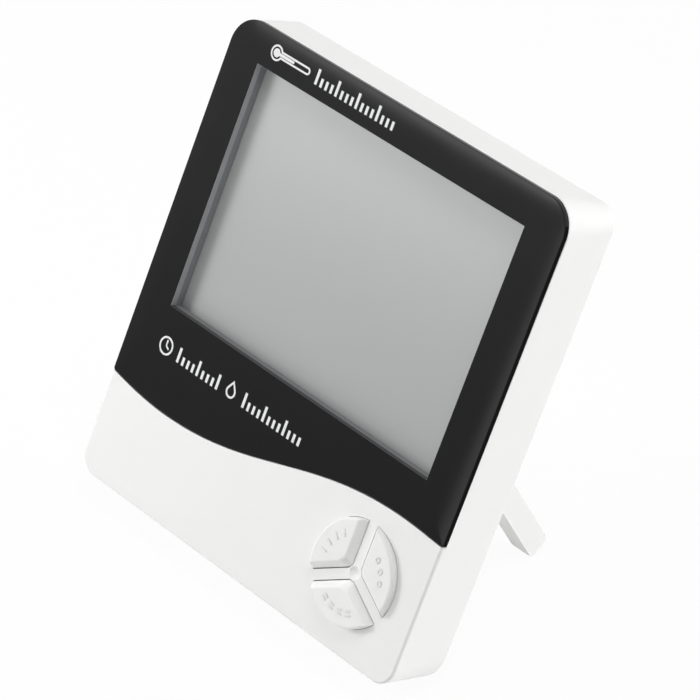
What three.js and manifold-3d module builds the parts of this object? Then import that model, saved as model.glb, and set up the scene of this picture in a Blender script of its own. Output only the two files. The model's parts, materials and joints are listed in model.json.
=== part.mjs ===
// A desk thermo-hygrometer and clock. A white two-shell case carries a black front panel,
// a liquid crystal display in a deep window and three sector keys. It leans back on a
// two-legged stand that folds into the rear shell, beside a bay for one AAA cell.
// Millimetres. In the case's own frame X points right across the face, Y from the face
// to the back, and Z up the face. The finished group stands on Z = 0, leaning back.

import * as THREE from 'three';
import { mergeVertices, toCreasedNormals } from 'three/addons/utils/BufferGeometryUtils.js';
import Module from 'manifold-3d';

const wasm = await Module();
wasm.setup();

// Fits
const seat = 0.1; // between two faces that are clamped together
const slip = 0.3; // round a piece that moves, slides in or rests on another
const weld = 0.2; // how far joined solids reach into each other

// Case
const caseWidth = 100;
const caseHeight = 108;
const sideDepth = 15.5; // how far the side walls run back
const overallDepth = 20; // to the flat of the raised back
const topCornerRadius = 6.7;
const bottomCornerRadius = 4.7;
const topRimRadius = 4.6; // the same corners at the side walls' rear rim
const bottomRimRadius = 7.3;
const sideWall = 2;
const faceWall = 2.4;
const faceRound = 0.7;
const rimRound = 0.6;
const faceRecess = 0.2; // white face below the panel's front

// Front panel, with the curved lower edge given where it starts, dips, crests and ends
const panelThickness = 1.35;
const panelRound = 0.5;
const panelTip = 0.8; // rounding where the curved edge meets the sides
const panelSeam = 0.15;
const edgeLeftHeight = 23.8;
const edgeDipSide = 18.5; // from the case's left side
const edgeDipHeight = 21.9;
const edgeCrestSide = 12.5; // from its right side
const edgeCrestHeight = 33.85;
const edgeRightHeight = 33.3;
const edgePullShare = 0.403; // the curve's handles, of the way from dip to crest

// Window, seal and display
const windowSide = 9.7; // from the case's sides to the window
const windowHead = 8.2; // and from its top
const windowBottom = 43.5;
const displayDepth = 3.4; // from the panel's front to the display
const sealWidth = 0.9;
const glassLap = 1.6; // glass behind the window's edge, at the sides
const glassFoot = 1.2; // and below it
const contactLedge = 3.4; // and above it, with the contacts
const filmThickness = 0.2;
const glassThickness = 1.1;
const railWidth = 1;
const railHeight = 2.8;
const railHalfLength = 30; // above and below the glass
const sideRailHalfLength = 9;

// Sector keys
const keyFromSide = 18.4; // from the case's right side to the spokes' hub
const keyHeight = 17.6;
const keyHoleRadius = 11.6;
const barHalfWidth = 1.15;
const hubRadius = 1.75; // from the hub's middle to the flat inner ends of the openings
const hubDimple = { radius: 1.5, depth: 0.25 };
const keyRise = 1.8; // above the white face
const keyBevel = 1.3;
const keyRimRound = 1.4;
const keyFlange = 0.8;
const keyFlangeLip = 0.7;
const keyTravel = 0.6;
const keyDirections = { upper_left_key: 150, right_key: 30, lower_key: 270 };
const switchReach = 6.6; // from the hub to each key's switch

// Circuit board and what it carries
const boardFront = 8;
const boardThickness = 1.2;
const boardMargin = 0.5;
const keyBoardReach = 15.8; // left of the keys' hub
const keyBoardBottom = 4.2;
const neckGap = 2.65; // from the cell bay to the board's neck
const switchSize = 6;
const switchHeight = 3.5;
const plungerRadius = 1.75;
const plungerRise = 0.5;
const plungerLength = 1.8;
const boardPostRadius = 1.7;
const boardPostEdge = 4.1; // from the case's side to a board post
const lowPostInset = 2.3; // from the neck's left edge
const lowPostRise = 2.6; // above the neck's lower edge
const lowPostDrop = 3; // below the cell bay

// Small parts soldered to the back of the board
const chip = { x: 0, z: 74, radius: 5.5, height: 1.7 };
const crystal = { x: 8, z: 62, radius: 1, length: 6.2 };
const capacitorCan = { x: 10, z: 92, radius: 2.5, length: 5.3 };
const humidityCase = { halfWidth: 4, halfHeight: 5, thickness: 1.2 };
const thermistor = { radius: 1.5, height: 4.4 };
const sensorSpread = 5; // from the vents' middle to each sensor

// Screws and their posts
const postEdge = 5.1; // from the case's edges to a corner screw
const postRadius = 2.6;
const postTop = 10;
const pilotRadius = 1.3;
const screwRadius = 1.1;
const caseScrewLength = 9;
const caseScrewHead = { radius: 2.3, height: 1.5 };
const boardScrewLength = 4.5;
const boardScrewHead = { radius: 1.9, height: 1.1 };
const wellWall = 0.8;

// Rear shell
const rearSkin = 1.8;
const raisedInset = 4; // from the case's edge to the foot of the raised back
const raisedRadius = 17;
const raisedRound = 4.5; // how far in the raised back rounds over

// Stand
const standHalfWidth = 33;
const legWidth = 5.8;
const standThickness = 5.5;
const legLength = 47.6; // from the hinge to the foot
const hingeHeight = 50.1;
const openAngle = 54.3;
const heelLength = 3.6;
const footInnerRound = 0.5;
const footOuterRound = 2;
const hingePinRadius = 1.2;
const hingePinLength = 2.5;
const troughWall = 1.4;

// Cell, its bay and its door
const cellRadius = 5.25;
const cellLength = 43.6;
const nubRadius = 1.9;
const nubLength = 0.9;
const springLength = 3.6;
const contactThickness = 0.4;
const bayWall = 1.3;
const doorThickness = 1.8;
const doorLip = 0.8; // how far the door laps the bay at its sides
const doorFoot = 1.4; // and below it
const doorHead = 2.7; // and above it
const doorToBarrel = 2.6; // least height between the door's top and the stand's barrel
const tabWidth = 6;
const tabOffset = 12;
const tabReach = 1.5;
const tabThickness = 1.2;
const thumbRadius = 2.6;
const thumbDepth = 1;

// Hanging hole, vents and sounder
const hangerHeight = 88;
const hangerHeadRadius = 4.2;
const hangerSlotRadius = 2.2;
const hangerRise = 7;
const hangerPocketDepth = 4;
const ventSide = 26; // from the case's left side to the vents' middle
const ventHeight = 74;
const ventLength = 16;
const ventWidth = 1.5;
const ventPitch = 3.2;
const ventCount = 7;
const sounderSide = 26; // from its right side to the sounder's middle
const sounderHeight = 74;
const sounderRadius = 10;
const sounderThickness = 0.3;
const soundHoleRadius = 0.9;
const soundHoleRing = 4;

// Rear keys
const rearKeyInset = 11.6; // from the case's side
const unitKeyClimb = 11; // above the stand's hinge
const resetKeyClimb = 20;
const rearKeyFlange = 0.8;
const unitKeyRadius = 2.4;
const resetKeyRadius = 1.2;
const unitKeyRise = 0.5;
const resetKeySink = 0.8;

// Places that follow from the sizes above
const faceFront = faceRecess;
const faceBack = faceFront + faceWall;
const halfWidth = caseWidth / 2;
const windowWidth = caseWidth - 2 * windowSide;
const windowTop = caseHeight - windowHead;
const windowHeight = windowTop - windowBottom;
const edgeDip = { x: edgeDipSide - halfWidth, z: edgeDipHeight };
const edgeCrest = { x: halfWidth - edgeCrestSide, z: edgeCrestHeight };
const keyCentre = { x: halfWidth - keyFromSide, z: keyHeight };
const ventCentre = { x: ventSide - halfWidth, z: ventHeight };
const sounderCentre = { x: halfWidth - sounderSide, z: sounderHeight };
const boardBack = boardFront + boardThickness;
const glassHalfWidth = windowWidth / 2 + glassLap;
const glassBottom = windowBottom - glassFoot;
const glassTop = windowTop + contactLedge;
const plateBack = sideDepth - seat;
const plateFront = plateBack - rearSkin;
const skinFront = overallDepth - rearSkin;
const hingeDepth = overallDepth - standThickness / 2;
const troughFloor = overallDepth - standThickness - slip;
const doorFront = overallDepth - doorThickness;
const cellDepth = doorFront - slip - cellRadius;
const bayFloor = cellDepth - cellRadius - slip;
const bayHalfHeight = cellRadius + slip;
const bayTop = Math.min(
  glassBottom - bayWall - slip,
  hingeHeight - standThickness / 2 - doorToBarrel - doorHead,
);
const bayCentreHeight = bayTop - bayHalfHeight;
const bayBottom = bayCentreHeight - bayHalfHeight;
const bayLength = contactThickness + springLength + cellLength + nubLength + contactThickness + 4 * slip;
const doorHalfWidth = bayLength / 2 + doorLip;
const doorBottom = bayBottom - doorFoot;
const doorTop = bayTop + doorHead;
const keyBoardLeft = keyCentre.x - keyBoardReach;
const neckLeft = bayLength / 2 + bayWall + neckGap;
const screwPlaces = [[-1, 0], [1, 0], [1, 1], [-1, 1]].map(([side, end]) => ({
  x: side * (halfWidth - postEdge),
  z: end ? caseHeight - postEdge : postEdge,
}));

// Materials
const plastic = (color, roughness = 0.45) => new THREE.MeshStandardMaterial({ color, roughness, metalness: 0 });
const metal = (color, roughness = 0.35) => new THREE.MeshStandardMaterial({ color, roughness, metalness: 1 });
const whitePlastic = plastic(0xf2f2f0);
const keyPlastic = plastic(0xeeeeec, 0.5);
const blackGloss = plastic(0x26262a, 0.2);
const sealFoam = plastic(0x5c5e60, 0.9);
const displayGrey = plastic(0xb2b6b4, 0.35);
const displayGlass = new THREE.MeshStandardMaterial({
  color: 0xcfd6d4, roughness: 0.1, transparent: true, opacity: 0.5,
});
const reflector = plastic(0xc9ccc6, 0.4);
const rubber = plastic(0x9aa0a6, 0.9);
const boardGreen = plastic(0x1f6b42, 0.5);
const epoxy = plastic(0x151517, 0.4);
const sleeve = plastic(0x1b2a5a, 0.35);
const switchBlack = plastic(0x1c1c1e, 0.5);
const sensorCream = plastic(0xe6dfc8, 0.7);
const cellJacket = plastic(0x2f3a46, 0.3);
const steel = metal(0xb9bcc0);
const brass = metal(0xc9a650);
const ceramic = plastic(0xe9e6dd, 0.6);

// Points of an arc about a centre, angles in degrees
function arc(x, z, radius, from, to, steps) {
  return Array.from({ length: steps + 1 }, (_, i) => {
    const angle = THREE.MathUtils.degToRad(from + ((to - from) * i) / steps);
    return new THREE.Vector2(x + radius * Math.cos(angle), z + radius * Math.sin(angle));
  });
}

// A rectangle with its own radius at the bottom and the top corners
function roundedOutline(half, bottom, top, bottomRadius, topRadius, steps = 7) {
  return [
    ...arc(half - bottomRadius, bottom + bottomRadius, bottomRadius, -90, 0, steps),
    ...arc(half - topRadius, top - topRadius, topRadius, 0, 90, steps),
    ...arc(topRadius - half, top - topRadius, topRadius, 90, 180, steps),
    ...arc(bottomRadius - half, bottom + bottomRadius, bottomRadius, 180, 270, steps),
  ];
}

// The case's outline, from its face to its rear rim as back goes from 0 to 1
const caseOutline = (inset, back = 0) => roundedOutline(
  halfWidth - inset, inset, caseHeight - inset,
  THREE.MathUtils.lerp(bottomCornerRadius, bottomRimRadius, back) - inset,
  THREE.MathUtils.lerp(topCornerRadius, topRimRadius, back) - inset,
);

const raisedOutline = (inset) => roundedOutline(
  halfWidth - raisedInset - inset, raisedInset + inset, caseHeight - raisedInset - inset,
  raisedRadius - inset, raisedRadius - inset,
);

const box = (x0, x1, z0, z1) => [[x0, z0], [x1, z0], [x1, z1], [x0, z1]].map(([x, z]) => new THREE.Vector2(x, z));

// A closed body through outlines with the same number of points, from front to back
function loft(rings) {
  const count = rings[0].points.length;
  const position = rings.flatMap(({ y, points }) => points.flatMap((p) => [p.x, y, p.y]));
  const last = (rings.length - 1) * count;
  const index = [];
  for (let ring = 0; ring < last; ring += count) {
    for (let i = 0; i < count; i += 1) {
      const a = ring + i;
      const b = ring + ((i + 1) % count);
      index.push(a, b + count, b, a, a + count, b + count);
    }
  }
  for (const [a, b, c] of THREE.ShapeUtils.triangulateShape(rings[0].points, [])) index.push(a, b, c);
  for (const [a, b, c] of THREE.ShapeUtils.triangulateShape(rings.at(-1).points, [])) {
    index.push(last + c, last + b, last + a);
  }
  const geometry = new THREE.BufferGeometry();
  geometry.setAttribute('position', new THREE.Float32BufferAttribute(position, 3));
  geometry.setIndex(index);
  return geometry;
}

// A manifold solid from a closed geometry, without the slivers that merging leaves
function solid(geometry) {
  geometry.deleteAttribute('normal');
  geometry.deleteAttribute('uv');
  const merged = mergeVertices(geometry);
  const corners = merged.index.array;
  const triVerts = [];
  for (let i = 0; i < corners.length; i += 3) {
    const [a, b, c] = corners.slice(i, i + 3);
    if (a !== b && b !== c && c !== a) triVerts.push(a, b, c);
  }
  return new wasm.Manifold(new wasm.Mesh({
    numProp: 3,
    vertProperties: merged.attributes.position.array,
    triVerts: new Uint32Array(triVerts),
  }));
}

const join = (first, ...others) => others.reduce((body, other) => body.add(other), first);
const cut = (first, ...others) => others.reduce((body, other) => body.subtract(other), first);

// A flat outline or shape given thickness from y0 to y1
function slab(outline, y0, y1, curveSegments = 8) {
  const shape = outline instanceof THREE.Shape ? outline : new THREE.Shape(outline);
  const geometry = new THREE.ExtrudeGeometry(shape, { depth: y1 - y0, bevelEnabled: false, curveSegments });
  return solid(geometry.rotateX(Math.PI / 2).translate(0, y1, 0));
}

// A round pin or hole along Y
function rod(x, z, radius, y0, y1, sides = 24) {
  const geometry = new THREE.CylinderGeometry(radius, radius, y1 - y0, sides);
  return solid(geometry.translate(x, (y0 + y1) / 2, z));
}

// A side view in Y and Z given thickness from x0 to x1
function sideSlab(outline, x0, x1) {
  const geometry = new THREE.ExtrudeGeometry(new THREE.Shape(outline), { depth: x1 - x0, bevelEnabled: false });
  const toSide = new THREE.Matrix4().makeBasis(
    new THREE.Vector3(0, 1, 0), new THREE.Vector3(0, 0, 1), new THREE.Vector3(1, 0, 0),
  );
  return solid(geometry.applyMatrix4(toSide).translate(x0, 0, 0));
}

// A profile of radius and height, revolved about Y
function turned(profile, sides = 24) {
  const points = profile.map(([radius, height]) => new THREE.Vector2(radius, height));
  return solid(new THREE.LatheGeometry(points, sides));
}

function piece(name, body, material, parent) {
  const { vertProperties, triVerts } = body.getMesh();
  const geometry = new THREE.BufferGeometry();
  geometry.setAttribute('position', new THREE.BufferAttribute(vertProperties, 3));
  geometry.setIndex(new THREE.BufferAttribute(triVerts, 1));
  const mesh = new THREE.Mesh(toCreasedNormals(geometry, Math.PI / 5), material);
  mesh.name = name;
  parent.add(mesh);
  return mesh;
}

// The panel's lower edge from left to right: it dips, rises through the middle and crests.
// A tip rounds its ends up into the case's sides.
function drawLowerEdge(shape, drop = 0, tip = 0) {
  const fall = 0.45 * (edgeDip.x + halfWidth);
  const rise = 0.45 * (halfWidth - edgeCrest.x);
  const edgePull = edgePullShare * (edgeCrest.x - edgeDip.x);
  const start = new THREE.Vector2(-halfWidth, edgeLeftHeight - drop);
  const falling = new THREE.Vector2(
    edgeDip.x - fall * 1.4, edgeDip.z + 0.35 * (edgeLeftHeight - edgeDip.z) - drop,
  );
  if (tip) {
    const after = falling.clone().sub(start).setLength(tip).add(start);
    shape.quadraticCurveTo(start.x, start.y, after.x, after.y);
  }
  shape.bezierCurveTo(
    falling.x, falling.y,
    edgeDip.x - fall * 0.7, edgeDip.z - drop,
    edgeDip.x, edgeDip.z - drop,
  );
  shape.bezierCurveTo(
    edgeDip.x + edgePull, edgeDip.z - drop,
    edgeCrest.x - edgePull, edgeCrest.z - drop,
    edgeCrest.x, edgeCrest.z - drop,
  );
  shape.bezierCurveTo(
    edgeCrest.x + rise, edgeCrest.z - drop,
    halfWidth - rise * 0.5, edgeRightHeight - drop,
    halfWidth - tip, edgeRightHeight - drop,
  );
  if (tip) shape.quadraticCurveTo(halfWidth, edgeRightHeight - drop, halfWidth, edgeRightHeight - drop + tip);
}

// Black panel: one plate over the upper face, full width, with a sharp-cornered window
function buildPanel(parent) {
  const outline = new THREE.Shape();
  outline.moveTo(-halfWidth, edgeLeftHeight + panelTip);
  drawLowerEdge(outline, 0, panelTip);
  const cornerHeight = caseHeight - topCornerRadius;
  outline.lineTo(halfWidth, cornerHeight);
  outline.absarc(halfWidth - topCornerRadius, cornerHeight, topCornerRadius, 0, Math.PI / 2);
  outline.lineTo(topCornerRadius - halfWidth, caseHeight);
  outline.absarc(topCornerRadius - halfWidth, cornerHeight, topCornerRadius, Math.PI / 2, Math.PI);
  const rounded = new THREE.ExtrudeGeometry(outline, {
    depth: panelThickness, bevelThickness: panelRound, bevelSize: panelRound,
    bevelOffset: -panelRound, bevelSegments: 3, curveSegments: 10,
  });
  const plate = solid(rounded.rotateX(Math.PI / 2).translate(0, panelThickness + panelRound, 0));
  const trim = slab(box(-caseWidth, caseWidth, -1, caseHeight + 1), panelThickness, panelThickness * 3);
  const opening = slab(box(-windowWidth / 2, windowWidth / 2, windowBottom, windowTop), -1, panelThickness * 3);
  piece('front_panel', cut(plate, trim, opening), blackGloss, parent);
}

// Outline of one sector between two spokes, cut off flat at a distance from the hub's middle
function sectorOutline(direction, outerRadius, spokeOffset, hubDistance) {
  const spoke = THREE.MathUtils.degToRad(60);
  const reach = 60 - THREE.MathUtils.radToDeg(Math.asin(spokeOffset / outerRadius));
  const end = (hubDistance - spokeOffset / Math.sin(spoke)) * Math.tan(spoke);
  const points = [
    ...arc(0, 0, outerRadius, -reach, reach, 12),
    new THREE.Vector2(hubDistance, end),
    new THREE.Vector2(hubDistance, -end),
  ];
  const origin = new THREE.Vector2();
  const centre = new THREE.Vector2(keyCentre.x, keyCentre.z);
  return points.map((p) => p.rotateAround(origin, THREE.MathUtils.degToRad(direction)).add(centre));
}

// White front shell: face, side walls, key spokes, display rails and screw posts
function buildFrontCase(parent) {
  const round = (depth, radius) => radius - Math.sqrt(radius ** 2 - (radius - depth) ** 2);
  const faceSteps = [0, 0.12, 0.35, 0.65, 1].map((share) => share * faceRound);
  const rimSteps = [1, 0.5, 0.15, 0].map((share) => share * rimRound);
  const ring = (y, inset) => ({ y, points: caseOutline(inset, (y - faceFront) / (sideDepth - faceFront)) });
  const outer = loft([
    ...faceSteps.map((depth) => ring(faceFront + depth, round(depth, faceRound))),
    ...rimSteps.map((depth) => ring(sideDepth - depth, round(depth, rimRound))),
  ]);
  const hollow = slab(caseOutline(sideWall), faceBack, sideDepth + 1);
  const panelSeat = new THREE.Shape();
  panelSeat.moveTo(-caseWidth, edgeLeftHeight - panelSeam);
  panelSeat.lineTo(-halfWidth, edgeLeftHeight - panelSeam);
  drawLowerEdge(panelSeat, panelSeam);
  panelSeat.lineTo(caseWidth, edgeRightHeight - panelSeam);
  panelSeat.lineTo(caseWidth, caseHeight + 1);
  panelSeat.lineTo(-caseWidth, caseHeight + 1);
  const openingGap = sealWidth + seat;
  const opening = box(
    -windowWidth / 2 - openingGap, windowWidth / 2 + openingGap,
    windowBottom - openingGap, windowTop + openingGap,
  );
  const keyOpenings = Object.values(keyDirections).map((direction) => slab(
    sectorOutline(direction, keyHoleRadius, barHalfWidth, hubRadius),
    -1, faceBack + 1,
  ));
  const shell = cut(
    solid(outer), hollow,
    slab(panelSeat, -1, panelThickness + seat, 10),
    slab(opening, -1, faceBack + 1),
    rod(keyCentre.x, keyCentre.z, hubDimple.radius, -1, faceFront + hubDimple.depth, 20),
    ...keyOpenings,
  );
  const limit = slab(caseOutline(sideWall / 2), faceFront, sideDepth);
  const posts = screwPlaces.map(({ x, z }) => rod(x, z, postRadius, faceBack - weld, postTop));
  const pilots = screwPlaces.map(({ x, z }) => rod(x, z, pilotRadius, faceBack + 1, postTop + 1, 12));
  const boardPosts = boardPlaces().map(({ x, z }) => rod(x, z, boardPostRadius, faceBack - weld, boardFront - seat, 16));
  const boardPilots = boardPlaces().map(({ x, z }) => rod(x, z, screwRadius + 0.15, faceBack + 0.6, boardFront, 12));
  const inside = join(...posts, ...boardPosts, ...displayRails()).intersect(limit);
  piece('front_case', cut(join(shell, inside), ...pilots, ...boardPilots), whitePlastic, parent);
}

// Board posts: two each side of the display, and two beside the keys
function boardPlaces() {
  const side = halfWidth - boardPostEdge;
  const low = windowBottom + 0.15 * windowHeight;
  const high = windowBottom + 0.85 * windowHeight;
  return [
    { x: -side, z: low }, { x: -side, z: high }, { x: side, z: low }, { x: side, z: high },
    { x: keyBoardLeft + lowPostInset, z: bayBottom - bayWall - lowPostDrop },
    { x: keyBoardLeft + lowPostInset, z: keyBoardBottom + lowPostRise },
  ];
}

// Rails that hold the display glass by its four sides
function displayRails() {
  const [y0, y1] = [faceBack - weld, faceBack + railHeight];
  const middle = (glassBottom + glassTop) / 2;
  const inner = glassHalfWidth + slip;
  const upright = (side) => {
    const ends = [side * inner, side * (inner + railWidth)].sort((a, b) => a - b);
    return slab(box(...ends, middle - sideRailHalfLength, middle + sideRailHalfLength), y0, y1);
  };
  return [
    upright(-1), upright(1),
    slab(box(-railHalfLength, railHalfLength, glassTop + slip, glassTop + slip + railWidth), y0, y1),
    slab(box(-railHalfLength, railHalfLength, glassBottom - slip - railWidth, glassBottom - slip), y0, y1),
  ];
}

// Window seal and the display: film, two glasses, reflector and the contact strip
function buildDisplay(parent) {
  const halfWindow = windowWidth / 2;
  const ring = (grow) => box(-halfWindow - grow, halfWindow + grow, windowBottom - grow, windowTop + grow);
  const sealFront = panelThickness + seat;
  const seal = cut(slab(ring(sealWidth), sealFront, displayDepth - seat), slab(ring(0), 0, displayDepth));
  piece('window_seal', seal, sealFoam, parent);
  const layer = (front, thickness, top) => slab(box(-glassHalfWidth, glassHalfWidth, glassBottom, top), front, front + thickness);
  const filmEdge = 0.5;
  const film = (front, top) => slab(
    box(filmEdge - glassHalfWidth, glassHalfWidth - filmEdge, glassBottom + filmEdge, top - filmEdge),
    front, front + filmThickness,
  );
  const shortTop = glassTop - contactLedge + 0.4;
  const frontGlass = displayDepth + filmThickness + seat;
  const rearGlass = frontGlass + glassThickness + seat;
  const rearFilm = rearGlass + glassThickness + seat;
  piece('lcd_front_film', film(displayDepth, glassTop), displayGrey, parent);
  piece('lcd_front_glass', layer(frontGlass, glassThickness, glassTop), displayGlass, parent);
  piece('lcd_rear_glass', layer(rearGlass, glassThickness, shortTop), displayGlass, parent);
  piece('lcd_reflector', film(rearFilm, shortTop), reflector, parent);
  const strip = box(filmEdge - glassHalfWidth + 3, glassHalfWidth - filmEdge - 3, shortTop + 0.4, glassTop - 0.4);
  piece('contact_strip', slab(strip, rearGlass, boardFront - seat), rubber, parent);
}

// One key: a sector with bevelled straight sides, a rounded rim and a flange inside
function buildKeys(parent) {
  const top = faceFront - keyRise;
  const offset = barHalfWidth + slip;
  const radius = keyHoleRadius - slip;
  const flangeFront = faceBack + slip;
  const ring = (direction, y, bevel, rim) => ({
    y, points: sectorOutline(direction, radius - rim, offset + bevel, hubRadius + slip + bevel),
  });
  for (const [name, direction] of Object.entries(keyDirections)) {
    const cap = solid(loft([
      ring(direction, top, keyBevel, keyRimRound),
      ring(direction, top + 0.25 * keyRise, 0.75 * keyBevel, 0.35 * keyRimRound),
      ring(direction, top + 0.6 * keyRise, 0.4 * keyBevel, 0.08 * keyRimRound),
      ring(direction, faceFront, 0, 0),
      ring(direction, flangeFront + weld, 0, 0),
    ]));
    const flange = slab(
      sectorOutline(direction, radius + slip + keyFlangeLip, offset - keyFlangeLip, hubRadius + slip - keyFlangeLip),
      flangeFront, flangeFront + keyFlange,
    );
    piece(name, join(cap, flange), keyPlastic, parent);
  }
}

// Push switches: a square body with a round plunger that a key pushes in
function buildSwitch(name, x, z, facing, parent) {
  const mountFace = facing < 0 ? boardFront : boardBack;
  const along = (near, far) => [mountFace + facing * near, mountFace + facing * far].sort((a, b) => a - b);
  const half = switchSize / 2;
  const body = slab(box(x - half, x + half, z - half, z + half), ...along(seat, switchHeight));
  const boreDepth = plungerLength - plungerRise + keyTravel + slip;
  const bore = rod(x, z, plungerRadius + 0.15, ...along(switchHeight - boreDepth, switchHeight + 1), 20);
  piece(`${name}_switch`, cut(body, bore), switchBlack, parent);
  const tip = switchHeight + plungerRise;
  const plunger = rod(x, z, plungerRadius, ...along(tip - plungerLength, tip), 20);
  piece(`${name}_plunger`, plunger, switchBlack, parent);
}

function buildFrontSwitches(parent) {
  for (const [name, direction] of Object.entries(keyDirections)) {
    const angle = THREE.MathUtils.degToRad(direction);
    const x = keyCentre.x + switchReach * Math.cos(angle);
    const z = keyCentre.z + switchReach * Math.sin(angle);
    buildSwitch(name, x, z, -1, parent);
  }
}

// Circuit board: a wide sheet behind the display, with a neck down to the keys
function buildBoard(parent) {
  const edge = sideWall + boardMargin;
  const right = halfWidth - edge;
  const outline = [
    [keyBoardLeft, keyBoardBottom], [right, keyBoardBottom], [right, caseHeight - edge - 1],
    [-right, caseHeight - edge - 1], [-right, glassBottom], [neckLeft, glassBottom],
    [neckLeft, bayBottom - bayWall - slip], [keyBoardLeft, bayBottom - bayWall - slip],
  ].map(([x, z]) => new THREE.Vector2(x, z));
  const holes = boardPlaces().map(({ x, z }) => rod(x, z, screwRadius + 0.15, boardFront - 1, boardBack + 1, 12));
  const notches = screwPlaces.map(({ x, z }) => rod(x, z, postRadius + 1.2, boardFront - 1, boardBack + 1, 16));
  const board = cut(slab(outline, boardFront, boardBack), ...holes, ...notches);
  piece('circuit_board', board, boardGreen, parent);
  boardPlaces().forEach(({ x, z }, i) => {
    buildScrew(`board_screw_${i + 1}`, x, z, boardBack + seat, boardScrewLength, boardScrewHead, parent);
  });
}

// Pan head screw driven towards the face, its head's underside at the given depth
function buildScrew(name, x, z, seatDepth, length, head, parent) {
  const body = turned([
    [0, -length], [screwRadius * 0.5, -length], [screwRadius, 0.8 - length], [screwRadius, 0],
    [head.radius, 0], [head.radius, head.height * 0.5], [head.radius * 0.7, head.height * 0.9], [0, head.height],
  ], 16);
  const arm = head.radius * 0.55;
  const slot = head.radius * 0.16;
  const depth = head.height * 0.45;
  const cross = join(
    slab(box(-arm, arm, -slot, slot), depth, head.height + 1),
    slab(box(-slot, slot, -arm, arm), depth, head.height + 1),
  );
  const screw = piece(name, cut(body, cross), steel, parent);
  screw.position.set(x, seatDepth, z);
}

// Parts soldered to the back of the board
function buildBoardParts(parent) {
  const foot = boardBack + seat;
  const place = (name, body, material, x, rise, z) => {
    piece(name, body, material, parent).position.set(x, foot + rise, z);
  };
  const blob = turned([
    [0, 0], [chip.radius, 0], [chip.radius * 0.91, chip.height * 0.47],
    [chip.radius * 0.62, chip.height * 0.82], [0, chip.height],
  ], 24);
  place('driver_chip', blob, epoxy, chip.x, 0, chip.z);
  const can = turned([
    [0, 0], [crystal.radius, 0], [crystal.radius, crystal.length * 0.97],
    [crystal.radius * 0.8, crystal.length], [0, crystal.length],
  ], 12).rotate([0, 0, 90]);
  place('timing_crystal', can, steel, crystal.x, crystal.radius, crystal.z);
  const { radius, length } = capacitorCan;
  const capacitor = turned([
    [0, 0], [radius, 0], [radius, length * 0.12], [radius * 0.94, length * 0.17], [radius, length * 0.22],
    [radius, length * 0.94], [radius * 0.88, length], [0, length],
  ], 20);
  place('capacitor', capacitor, sleeve, capacitorCan.x, 0, capacitorCan.z);
  const { halfWidth: half, halfHeight: tall, thickness } = humidityCase;
  const sensor = slab(roundedOutline(half, -tall, tall, half * 0.2, half * 0.2, 3), 0, thickness);
  const grille = slab(box(-half * 0.65, half * 0.65, -tall * 0.68, tall * 0.48), thickness * 0.67, thickness * 2);
  place('humidity_sensor', cut(sensor, grille), sensorCream, ventCentre.x - sensorSpread, 0, ventCentre.z);
  const bead = turned([
    [0, 0], [thermistor.radius * 0.33, 0], [thermistor.radius * 0.33, thermistor.height * 0.32],
    [thermistor.radius * 0.87, thermistor.height * 0.45], [thermistor.radius, thermistor.height * 0.68],
    [thermistor.radius * 0.73, thermistor.height * 0.91], [0, thermistor.height],
  ], 14);
  place('temperature_sensor', bead, epoxy, ventCentre.x + sensorSpread, 0, ventCentre.z);
}

// Recess for the stand: a column for each leg and a slot for the bar between them
function standRecess(grow, front, back, bottom) {
  const inner = standHalfWidth - legWidth - slip - grow;
  const outer = standHalfWidth + slip + grow;
  const heel = Math.hypot(standThickness / 2, heelLength) + slip + grow;
  const barrel = standThickness / 2 + slip + grow;
  return join(
    slab(box(inner, outer, bottom, hingeHeight + heel), front, back),
    slab(box(-outer, -inner, bottom, hingeHeight + heel), front, back),
    slab(box(-outer, outer, hingeHeight - barrel, hingeHeight + barrel), front, back),
  );
}

// Solid blocks of the rear shell that the recess, bay, hanger and hinge are cut into
function rearBlocks() {
  const collarGrow = 1.2;
  return [
    standRecess(troughWall, troughFloor - troughWall, overallDepth, sideWall + seat),
    slab(box(
      -bayLength / 2 - bayWall, bayLength / 2 + bayWall, bayBottom - bayWall, bayTop + bayWall,
    ), bayFloor - bayWall, overallDepth),
    slab(box(
      -doorHalfWidth - collarGrow, doorHalfWidth + collarGrow, doorBottom - 3, doorTop + collarGrow,
    ), doorFront - 3.6, overallDepth),
    slab(hangerOutline(1.2), skinFront - hangerPocketDepth - 1.2, overallDepth),
    ...[-1, 1].map((side) => {
      const x = side * (standHalfWidth + slip + hingePinLength / 2 + 0.4);
      const half = hingePinLength / 2 + 0.9;
      return slab(box(x - half, x + half, hingeHeight - 3, hingeHeight + 3), troughFloor - troughWall, overallDepth);
    }),
    cut(
      rod(sounderCentre.x, sounderCentre.z, sounderRadius + 1.2, skinFront - 1.4, skinFront + weld, 32),
      rod(sounderCentre.x, sounderCentre.z, sounderRadius - 1, skinFront - 2, skinFront + 1, 32),
    ),
    ...rearKeys.map(({ z, radius }) => rod(rearKeyX, z, radius + 1.4, skinFront - 0.6, overallDepth, 20)),
  ];
}

const rearKeyX = halfWidth - rearKeyInset;
const rearKeys = [
  { name: 'unit_key', z: hingeHeight + unitKeyClimb, radius: unitKeyRadius, back: overallDepth + unitKeyRise },
  { name: 'reset_key', z: hingeHeight + resetKeyClimb, radius: resetKeyRadius, back: overallDepth - resetKeySink },
];

// Keyhole: a round hole for a screw head, with a slot above it for the shank
function hangerOutline(grow) {
  const head = hangerHeadRadius + grow;
  const slot = hangerSlotRadius + grow;
  const side = THREE.MathUtils.radToDeg(Math.acos(slot / head));
  return [
    ...arc(0, hangerHeight, head, 180 - side, 360 + side, 20),
    ...arc(0, hangerHeight + hangerRise, slot, 0, 180, 8),
  ];
}

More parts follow.
